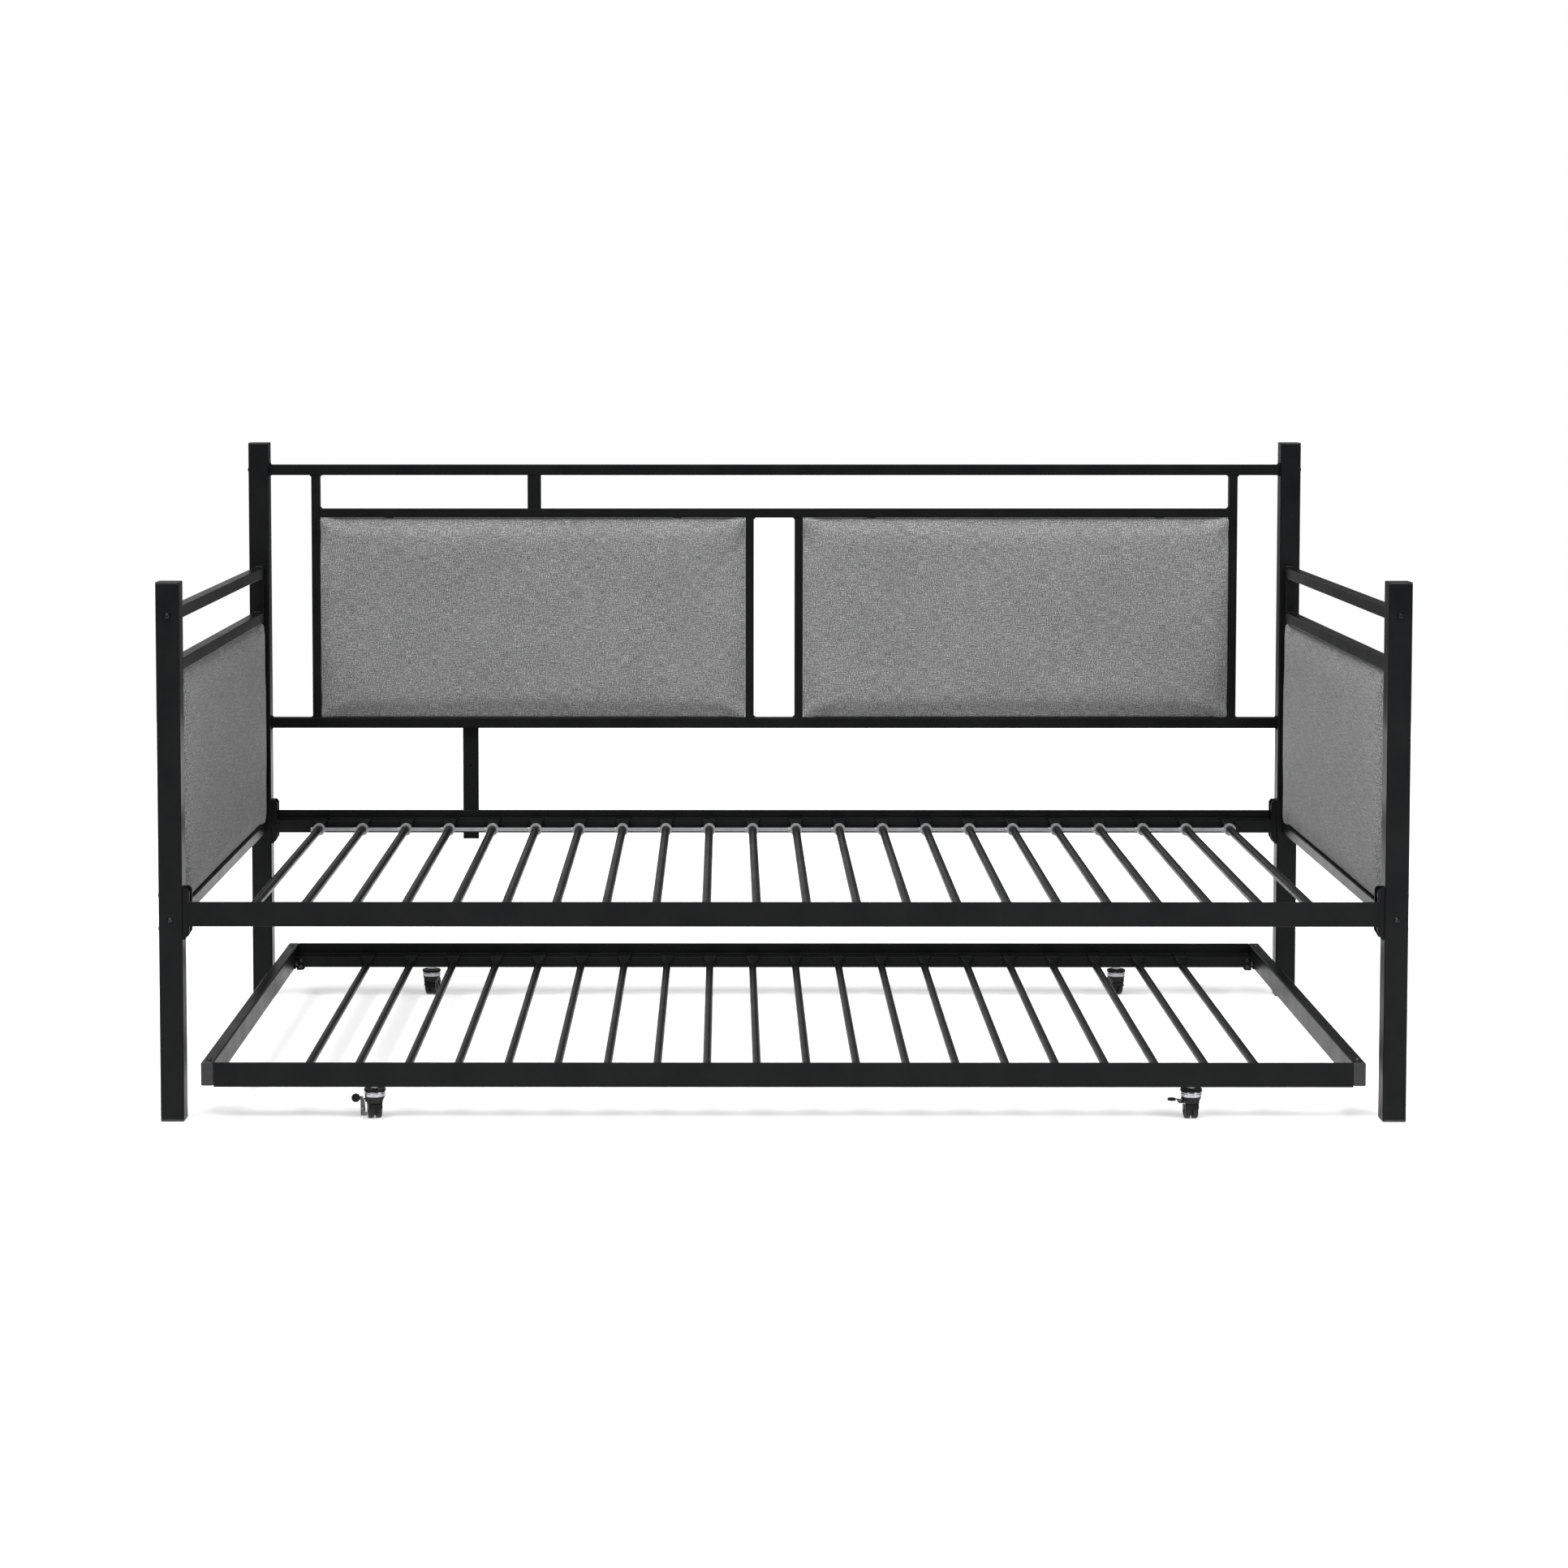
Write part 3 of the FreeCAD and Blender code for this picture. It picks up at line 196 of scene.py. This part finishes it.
def linen(name, across, slub):
    """Mid-grey linen-look cloth.

    across is the axis that the weft runs along, X or Y, and slub is the coarseness of the yarn.
    """
    s = Shader(name)
    parts = s.add("ShaderNodeSeparateXYZ", {"Vector": s.where}).outputs
    flat = s.add("ShaderNodeCombineXYZ", {"X": parts[across], "Y": parts["Z"]}).outputs[0]

    def yarn_noise(x, y, detail=1.0):
        vector = s.add("ShaderNodeMapping", {"Vector": flat, "Scale": (x, y, 1.0)}).outputs[0]
        return s.noise(vector, 1.0, detail)

    def bands(direction):
        inputs = {"Vector": flat, "Scale": 140.0, "Distortion": 1.2, "Detail": 1.0, "Detail Scale": 3.0}
        return s.add("ShaderNodeTexWave", inputs, bands_direction=direction).outputs["Fac"]

    weft = yarn_noise(44.0 / slub, 1100.0)
    warp = yarn_noise(1100.0 / slub, 60.0)
    fleck = yarn_noise(520.0 / slub, 560.0)
    broad = yarn_noise(7.0, 9.0, 2.0)
    yarn = s.math("ADD", s.math("MULTIPLY", weft, 0.26), s.math("MULTIPLY", warp, 0.22))
    yarn = s.math("ADD", yarn, s.math("MULTIPLY", fleck, 0.52))
    dark_slub, shadow = (0.045, 0.046, 0.049), (0.13, 0.131, 0.134)
    body, pale_slub = (0.205, 0.205, 0.206), (0.46, 0.46, 0.455)
    colour = s.ramp(yarn, [(0.36, dark_slub), (0.46, shadow), (0.53, body), (0.64, pale_slub)])
    shade = s.ramp(broad, [(0.3, 0.9), (0.7, 1.0)])
    mix = s.add("ShaderNodeMix", {"Factor": 1.0}, data_type="RGBA", blend_type="MULTIPLY")
    s.link(colour, mix.inputs["A"])
    s.link(shade, mix.inputs["B"])
    weave = s.math("MULTIPLY", bands("Y"), bands("X"))
    height = s.math("ADD", s.math("MULTIPLY", weave, 0.45), yarn)
    s.put(Base_Color=mix.outputs["Result"], Roughness=0.92, Sheen_Weight=0.12, Sheen_Roughness=0.5,
          Specular_IOR_Level=0.2)
    s.bump(height, 0.75, 0.0009)
    return s.material


def moulded(name, dark, light, rough, shine=0.3, grain=0.2):
    """Moulded plastic with a fine grain; dark and light are the ends of its mottling."""
    s = Shader(name)
    cloud = s.noise(s.where, 60.0, 3.0, 0.6)
    s.put(Base_Color=s.ramp(cloud, [(0.3, dark), (0.7, light)]), Specular_IOR_Level=shine,
          Roughness=s.spread(cloud, rough - 0.05, rough + 0.06))
    s.bump(s.noise(s.where, 2200.0, 2.0, 0.5), grain, 0.0002)
    return s.material


def plated(name, tint, rough, dull_and_reflection=0.82, patch_and_reflection_scale=90.0):
    """Plated steel with fine drawn marks and duller patches; the last argument sets how small those are. On
    the bright steel the patches are painted dark reflections.
    """
    s = Shader(name)
    cloud = s.noise(s.where, patch_and_reflection_scale, 3.0, 0.6)
    marks = s.noise(s.stretched((300.0, 300.0, 2600.0)), 1.0, 2.0, 0.6)
    # On the bright steel these duller patches are darker and finer than on the other steels: painted dark
    # reflections.
    dull_and_reflection_tint = tuple(dull_and_reflection * c for c in tint)
    s.put(Base_Color=s.ramp(cloud, [(0.3, dull_and_reflection_tint), (0.7, tint)]), Metallic=1.0,
          Roughness=s.spread(cloud, rough - 0.05, rough + 0.08))
    s.bump(marks, 0.08, 0.0003)
    return s.material


def fibre_board():
    """Dark pressed board with short fibres."""
    s = Shader("fibre_board")
    fibres = s.noise(s.stretched((160.0, 160.0, 900.0)), 1.0, 3.0, 0.6)
    cross = s.noise(s.stretched((900.0, 900.0, 160.0)), 1.0, 3.0, 0.6)
    mixed = s.math("MULTIPLY", s.math("ADD", fibres, cross), 0.5)
    colour = s.ramp(mixed, [(0.35, (0.014, 0.013, 0.0125)), (0.65, (0.04, 0.037, 0.035))])
    s.put(Base_Color=colour, Roughness=0.8)
    s.bump(mixed, 0.4, 0.0005)
    return s.material


MATERIALS = {
    "frame_steel": powder_coat(),
    "panel_board": fibre_board(),
    "black_plastic": moulded("black_plastic", (0.012, 0.012, 0.013), (0.02, 0.02, 0.021), 0.46),
    "grey_plastic": moulded("grey_plastic", (0.2, 0.2, 0.205), (0.27, 0.27, 0.275), 0.36, 0.5, 0.1),
    "black_bolts": plated("black_bolts", (0.045, 0.045, 0.048), 0.3),
    "zinc_steel": plated("zinc_steel", (0.55, 0.55, 0.57), 0.32),
    # Bright steel: its dark, fine mottling is painted dark reflection, not wear of the plating.
    "bright_steel": plated("bright_steel", (0.46, 0.46, 0.48), 0.2, 0.5, 260.0),
    "caster_plastic": moulded("caster_plastic", (0.004, 0.004, 0.0044), (0.008, 0.008, 0.0085), 0.38, 0.16),
    "wheel_plastic": moulded("wheel_plastic", (0.005, 0.005, 0.0054), (0.01, 0.01, 0.0105), 0.42, 0.16),
}
BACK_CLOTH = linen("linen_back", "X", 1.0)
ARM_CLOTH = linen("linen_arm", "Y", 1.8)


def dress(obj, material):
    """Give every slot of an object one material."""
    if not obj.data.materials:
        obj.data.materials.append(material)
    for entry in obj.material_slots:
        entry.material = material


for part in frame["record"]["subparts"]:
    if part["material_slot"] in MATERIALS:
        dress(NODES[part["node"]], MATERIALS[part["material_slot"]])


# ------------------------------------------------------------------ upholstery


def new_object(name, verts, faces):
    """Mesh object in the scene, made from points and faces."""
    mesh = bpy.data.meshes.new(name)
    mesh.from_pydata(verts, [], faces)
    mesh.update()
    obj = bpy.data.objects.new(name, mesh)
    bpy.context.scene.collection.objects.link(obj)
    return obj


def apply_modifiers(obj):
    """Replace the object's mesh with its evaluated one."""
    graph = bpy.context.evaluated_depsgraph_get()
    mesh = bpy.data.meshes.new_from_object(obj.evaluated_get(graph))
    obj.modifiers.clear()
    old = obj.data
    obj.data = mesh
    bpy.data.meshes.remove(old)


def outline(half_w, half_h, corner, steps):
    """Points of a rounded rectangle, anticlockwise."""
    points = []
    for k, (sx, sy) in enumerate(((1, 1), (-1, 1), (-1, -1), (1, -1))):
        cx, cy = sx * (half_w - corner), sy * (half_h - corner)
        for i in range(steps + 1):
            a = math.pi / 2 * (k + i / steps)
            points.append((cx + corner * math.cos(a), cy + corner * math.sin(a)))
    return points


def pad_blank(name, w, h, thick):
    """Closed pad in its own frame: u across, v up and n out of the face, from 0 at its back.

    It is a stack of rounded rectangles, each one an inset from the side and a height.
    """
    rings = [(BACK_ROUND, 0.0), (0.3 * BACK_ROUND, 0.375 * BACK_ROUND), (0.0, BACK_ROUND), (0.0, PAD_EDGE)]
    for i in range(1, SHOULDER_STEPS + 1):
        t = i / SHOULDER_STEPS
        rise = 1.0 - (1.0 - t) ** 2.4
        rings.append((PAD_SHOULDER * t ** 1.6, PAD_EDGE + (thick - PAD_EDGE) * rise))
    verts, faces = [], []
    for inset, n in rings:
        loop = outline(w / 2 - inset, h / 2 - inset, PAD_CORNER + inset * 1.5, CORNER_STEPS)
        verts += [(u, v, n) for u, v in loop]
    count = len(verts) // len(rings)
    for r in range(len(rings) - 1):
        for i in range(count):
            j = (i + 1) % count
            faces.append((r * count + i, r * count + j, (r + 1) * count + j, (r + 1) * count + i))
    faces.append(tuple(range(count))[::-1])
    faces.append(tuple((len(rings) - 1) * count + i for i in range(count)))
    return new_object(name, verts, faces)


def swell(obj, cap):
    """Voxel remesh and a short pressurised cloth run; no point rises more than cap."""
    remesh = obj.modifiers.new("remesh", "REMESH")
    remesh.mode = "VOXEL"
    remesh.voxel_size = PAD_VOXEL
    remesh.use_smooth_shade = True
    apply_modifiers(obj)
    count = len(obj.data.vertices)
    start = np.empty(count * 3)
    obj.data.vertices.foreach_get("co", start)
    start = start.reshape(-1, 3)
    held = obj.vertex_groups.new(name="held")
    on_board = [int(i) for i in np.nonzero(start[:, 2] < HELD_DEPTH)[0]]
    held.add(on_board, 1.0, "REPLACE")
    cloth = obj.modifiers.new("cloth", "CLOTH")
    cloth.settings.quality = 4
    cloth.settings.mass = 0.3
    cloth.settings.tension_stiffness = 12
    cloth.settings.compression_stiffness = 12
    cloth.settings.shear_stiffness = 8
    cloth.settings.bending_stiffness = 0.4
    cloth.settings.use_pressure = True
    cloth.settings.uniform_pressure_force = PAD_PRESSURE
    cloth.settings.effector_weights.gravity = 0.0
    cloth.settings.vertex_group_mass = "held"
    cloth.collision_settings.use_collision = False
    cloth.point_cache.frame_start = 1
    cloth.point_cache.frame_end = PAD_FRAMES
    for step in range(1, PAD_FRAMES + 1):
        bpy.context.scene.frame_set(step)
    apply_modifiers(obj)
    bpy.context.scene.frame_set(1)
    end = np.empty(count * 3)
    obj.data.vertices.foreach_get("co", end)
    move = end.reshape(-1, 3) - start
    move[:, :2] = PAD_CREEP * np.tanh(move[:, :2] / PAD_CREEP)
    move[:, 2] = cap * np.tanh(move[:, 2] / cap)
    obj.data.vertices.foreach_set("co", (start + move).ravel())
    obj.data.update()


def reach_out(distance):
    """How far a point at this distance from the pad's outline is pushed out to meet the frame."""
    return REACH * max(0.0, 1.0 - distance / REACH_BAND) ** 1.5


def shape_pad(obj, w, h, seed):
    """Crown the face, pull the sides in between the corners, and add soft unevenness."""
    rng = random.Random(seed)
    pitch, turn = (2, 9), (0, 6.28)
    waves = [[rng.uniform(*span) for span in (pitch, pitch, turn, turn)] for _ in range(UNEVEN_WAVES)]
    mesh = obj.data
    for vert in mesh.vertices:
        u, v, n = vert.co
        a, b = abs(u) / (w / 2), abs(v) / (h / 2)
        face = min(1.0, max(0.0, (n - FACE_FROM) / FACE_BLEND))
        crown = (1 - a ** 6) * (1 - b ** 4)
        soft = sum(math.sin(fu * u * 3 + pu) * math.sin(fv * v * 5 + pv) for fu, fv, pu, pv in waves)
        soft /= UNEVEN_WAVES
        n += face * (PAD_CROWN * crown + PAD_UNEVEN * soft * max(crown, 0.0))
        pull = SIDE_PULL * face
        u += math.copysign(reach_out(w / 2 - abs(u)) - pull * max(0.0, 1 - b ** 2) * a ** 8, u)
        v += math.copysign(reach_out(h / 2 - abs(v)) - pull * max(0.0, 1 - a ** 2) * b ** 8, v)
        vert.co = (u, v, n)
    mesh.update()


def fit_between(obj, low, high):
    """Keep every vertex inside a box."""
    for vert in obj.data.vertices:
        for k in range(3):
            vert.co[k] = min(max(vert.co[k], low[k]), high[k])
    obj.data.update()


def smooth(obj):
    for polygon in obj.data.polygons:
        polygon.use_smooth = True


def make_pad(name, node, cloth, seed):
    """Upholstered pad in place of a CAD pad; its face looks away from its board."""
    low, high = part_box(node)
    size = high - low
    arm = size.x < size.y
    w, h = (size.y if arm else size.x), size.z
    thick = (size.x if arm else size.y) - CROWN_ROOM - SWELL_ROOM
    obj = pad_blank(name, w - 2 * PAD_GAP, h - 2 * PAD_GAP, thick)
    swell(obj, PAD_SWELL)
    shape_pad(obj, w, h, seed)
    subdivide = obj.modifiers.new("subdivide", "SUBSURF")
    subdivide.levels = subdivide.render_levels = 1
    apply_modifiers(obj)
    smooth(obj)
    middle = (low + high) / 2
    right = middle.x > 0
    for vert in obj.data.vertices:
        u, v, n = vert.co
        if arm and right:
            vert.co = (high.x - n, -u, middle.z + v)
        elif arm:
            vert.co = (low.x + n, u, middle.z + v)
        else:
            vert.co = (middle.x + u, high.y - n, middle.z + v)
    clear = Vector((PAD_CLEAR, PAD_CLEAR, PAD_CLEAR))
    inner_low, inner_high = low + clear, high - clear
    if arm and right:
        inner_low.x = low.x - REACH
    elif arm:
        inner_high.x = high.x + REACH
    else:
        inner_low.y = low.y - REACH
    fit_between(obj, inner_low, inner_high)
    dress(obj, cloth)
    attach(obj, "daybed")
    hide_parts(node)


# The last value seeds each pad's unevenness.
make_pad("cloth_pad_back_left", "backrest_pad_left", BACK_CLOTH, 3)
make_pad("cloth_pad_back_right", "backrest_pad_right", BACK_CLOTH, 5)
make_pad("cloth_pad_arm_left", "arm_pad_left", ARM_CLOTH, 7)
make_pad("cloth_pad_arm_right", "arm_pad_right", ARM_CLOTH, 9)


# ------------------------------------------------------------------ welds


def bead(verts, faces, start, end, leg_a, leg_b, size, rng):
    """A fillet weld along a joint line, as a strip with a rippled round face."""
    start, end = Vector(start), Vector(end)
    leg_a, leg_b = Vector(leg_a), Vector(leg_b)
    ring = WELD_ARC + 2
    base = len(verts)
    for i in range(WELD_STEPS + 1):
        at = start.lerp(end, i / WELD_STEPS)
        r = size * (1.0 + WELD_RIPPLE * math.sin(i * 2.4 + rng.uniform(-0.5, 0.5)))
        if i in (0, WELD_STEPS):
            r *= WELD_END
        verts.append(at - (leg_a + leg_b) * WELD_SUNK)
        for k in range(WELD_ARC + 1):
            t = math.pi / 2 * k / WELD_ARC
            reach = r * (1.0 - WELD_FLAT * math.sin(2 * t))
            verts.append(at + leg_a * (reach * math.cos(t)) + leg_b * (reach * math.sin(t)))
    for i in range(WELD_STEPS):
        for k in range(ring):
            a = base + i * ring + k
            b = base + i * ring + (k + 1) % ring
            faces.append((a, b, b + ring, a + ring))
    faces.append(tuple(base + k for k in range(ring))[::-1])
    faces.append(tuple(base + WELD_STEPS * ring + k for k in range(ring)))


def backrest_weld_lines():
    """Joint lines of the backrest: start, end and the two directions that the bead spreads in."""
    low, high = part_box("backrest_frame")
    pad_low, pad_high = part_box("backrest_pad_right")
    y0, y1 = low.y + CORNER_ROUND, high.y - CORNER_ROUND
    top, bottom, post = high.z, low.z, high.x
    under_top, on_bottom = top - TUBE, bottom + TUBE
    far, near = pad_high.x + PAD_GAP, pad_low.x - PAD_GAP
    mid_low = pad_high.z + PAD_GAP
    mid_top = mid_low + MIDDLE_RAIL
    at_stiles = [(far + STILE, under_top, 1, -1), (far, under_top, -1, -1), (far, mid_top, -1, 1),
                 (far + STILE, on_bottom, 1, 1), (near - STILE, on_bottom, -1, 1),
                 (near - STILE, mid_low, -1, -1)]
    at_posts = [(post, top, -1, 1), (post, under_top, -1, -1),
                (post, on_bottom, -1, 1), (post, bottom, -1, -1)]
    return [((s * x, y0, z), (s * x, y1, z), (s * out, 0, 0), (0, 0, up))
            for s in (-1, 1) for x, z, out, up in at_stiles + at_posts]


def arm_weld_lines():
    """Joint lines of both arms, as in backrest_weld_lines."""
    lines = []
    for side in ("left", "right"):
        low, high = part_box("arm_frame_" + side)
        mid_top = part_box("arm_pad_" + side)[1].z + PAD_GAP + TUBE
        x0, x1 = low.x + CORNER_ROUND, high.x - CORNER_ROUND
        for e in (-1, 1):
            outer, inner = e * high.y, e * (high.y - TUBE)
            joints = [(outer, high.z, 1), (inner, high.z - TUBE, -1),
                      (inner, mid_top, 1), (outer, low.z, -1)]
            lines += [((x0, y, z), (x1, y, z), (0, -e, 0), (0, 0, up)) for y, z, up in joints]
    return lines


def make_welds():
    """All the weld beads, as one piece on the daybed."""
    rng = random.Random(11)
    verts, faces = [], []
    for line in backrest_weld_lines() + arm_weld_lines():
        bead(verts, faces, *line, WELD_SIZE, rng)
    obj = new_object("weld_beads", [tuple(v) for v in verts], faces)
    bm = bmesh.new()
    bm.from_mesh(obj.data)
    bmesh.ops.recalc_face_normals(bm, faces=bm.faces)
    bm.to_mesh(obj.data)
    bm.free()
    smooth(obj)
    dress(obj, MATERIALS["frame_steel"])
    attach(obj, "daybed")


make_welds()


# ------------------------------------------------------------------ studio and camera


def studio_floor():
    """Pale floor that glows a little, so that shadows on it stay faint."""
    corners = [(x * FLOOR_HALF, y * FLOOR_HALF, 0) for x, y in ((-1, -1), (1, -1), (1, 1), (-1, 1))]
    obj = new_object("floor", corners, [(0, 1, 2, 3)])
    s = Shader("studio_floor")
    grain = s.noise(s.where, 30.0, 3.0, 0.6)
    s.put(Base_Color=s.ramp(grain, [(0.3, 0.87), (0.7, 0.89)]), Roughness=0.7, Specular_IOR_Level=0.1)
    s.put(Emission_Color=(1.0, 1.0, 1.0, 1.0), Emission_Strength=0.4)
    dress(obj, s.material)


def studio_world():
    """White to the camera, and dimmer as a source of light."""
    world = bpy.data.worlds.new("studio")
    world.use_nodes = True
    tree = world.node_tree
    tree.nodes.clear()
    out = tree.nodes.new("ShaderNodeOutputWorld")
    rays = tree.nodes.new("ShaderNodeLightPath")
    mix = tree.nodes.new("ShaderNodeMixShader")
    tree.links.new(rays.outputs["Is Camera Ray"], mix.inputs["Fac"])
    light_strength, seen_strength = 0.17, 1.0
    for socket, strength in ((1, light_strength), (2, seen_strength)):
        background = tree.nodes.new("ShaderNodeBackground")
        background.inputs["Color"].default_value = (1, 1, 1, 1)
        background.inputs["Strength"].default_value = strength
        tree.links.new(background.outputs[0], mix.inputs[socket])
    tree.links.new(mix.outputs[0], out.inputs["Surface"])
    bpy.context.scene.world = world


def softbox(name, at, target, side, power):
    """Square light panel that faces its target; its power is in watts."""
    light = bpy.data.lights.new(name, "AREA")
    light.shape = "SQUARE"
    light.size = side
    light.energy = power
    obj = bpy.data.objects.new(name, light)
    obj.location = at
    obj.rotation_euler = (Vector(target) - Vector(at)).to_track_quat("-Z", "Y").to_euler()
    bpy.context.scene.collection.objects.link(obj)


def sun_light(name, direction, angle, strength):
    """Distant light; its angle is its width in the sky in degrees, so a wide one is soft."""
    light = bpy.data.lights.new(name, "SUN")
    light.energy = strength
    light.angle = math.radians(angle)
    obj = bpy.data.objects.new(name, light)
    obj.rotation_euler = Vector(direction).to_track_quat("-Z", "Y").to_euler()
    bpy.context.scene.collection.objects.link(obj)


def make_camera():
    camera = bpy.data.cameras.new("camera")
    camera.sensor_width = SENSOR
    camera.lens = LENS
    camera.shift_x, camera.shift_y = LENS_SHIFT
    camera.clip_start = 0.1
    camera.clip_end = 200.0
    obj = bpy.data.objects.new("camera", camera)
    obj.location = CAMERA_AT
    obj.rotation_euler = (math.pi / 2 - CAMERA_PITCH, 0.0, CAMERA_YAW)
    bpy.context.scene.collection.objects.link(obj)
    bpy.context.scene.camera = obj


studio_floor()
studio_world()
sun_light("high_soft_sun", direction=(0.2, 0.42, -1.0), angle=55.0, strength=4.5)
sun_light("back_left_glint", direction=(0.156, -0.985, -0.12), angle=22.0, strength=0.05)
softbox("front_left_softbox", at=(-3.0, -3.6, 3.6), target=(-0.2, 0.4, 0.6), side=1.8, power=40.0)
softbox("front_right_softbox", at=(3.4, -3.0, 2.6), target=(-0.6, 0.2, 0.6), side=1.6, power=86.0)
make_camera()
bpy.context.scene.view_settings.view_transform = "Standard"
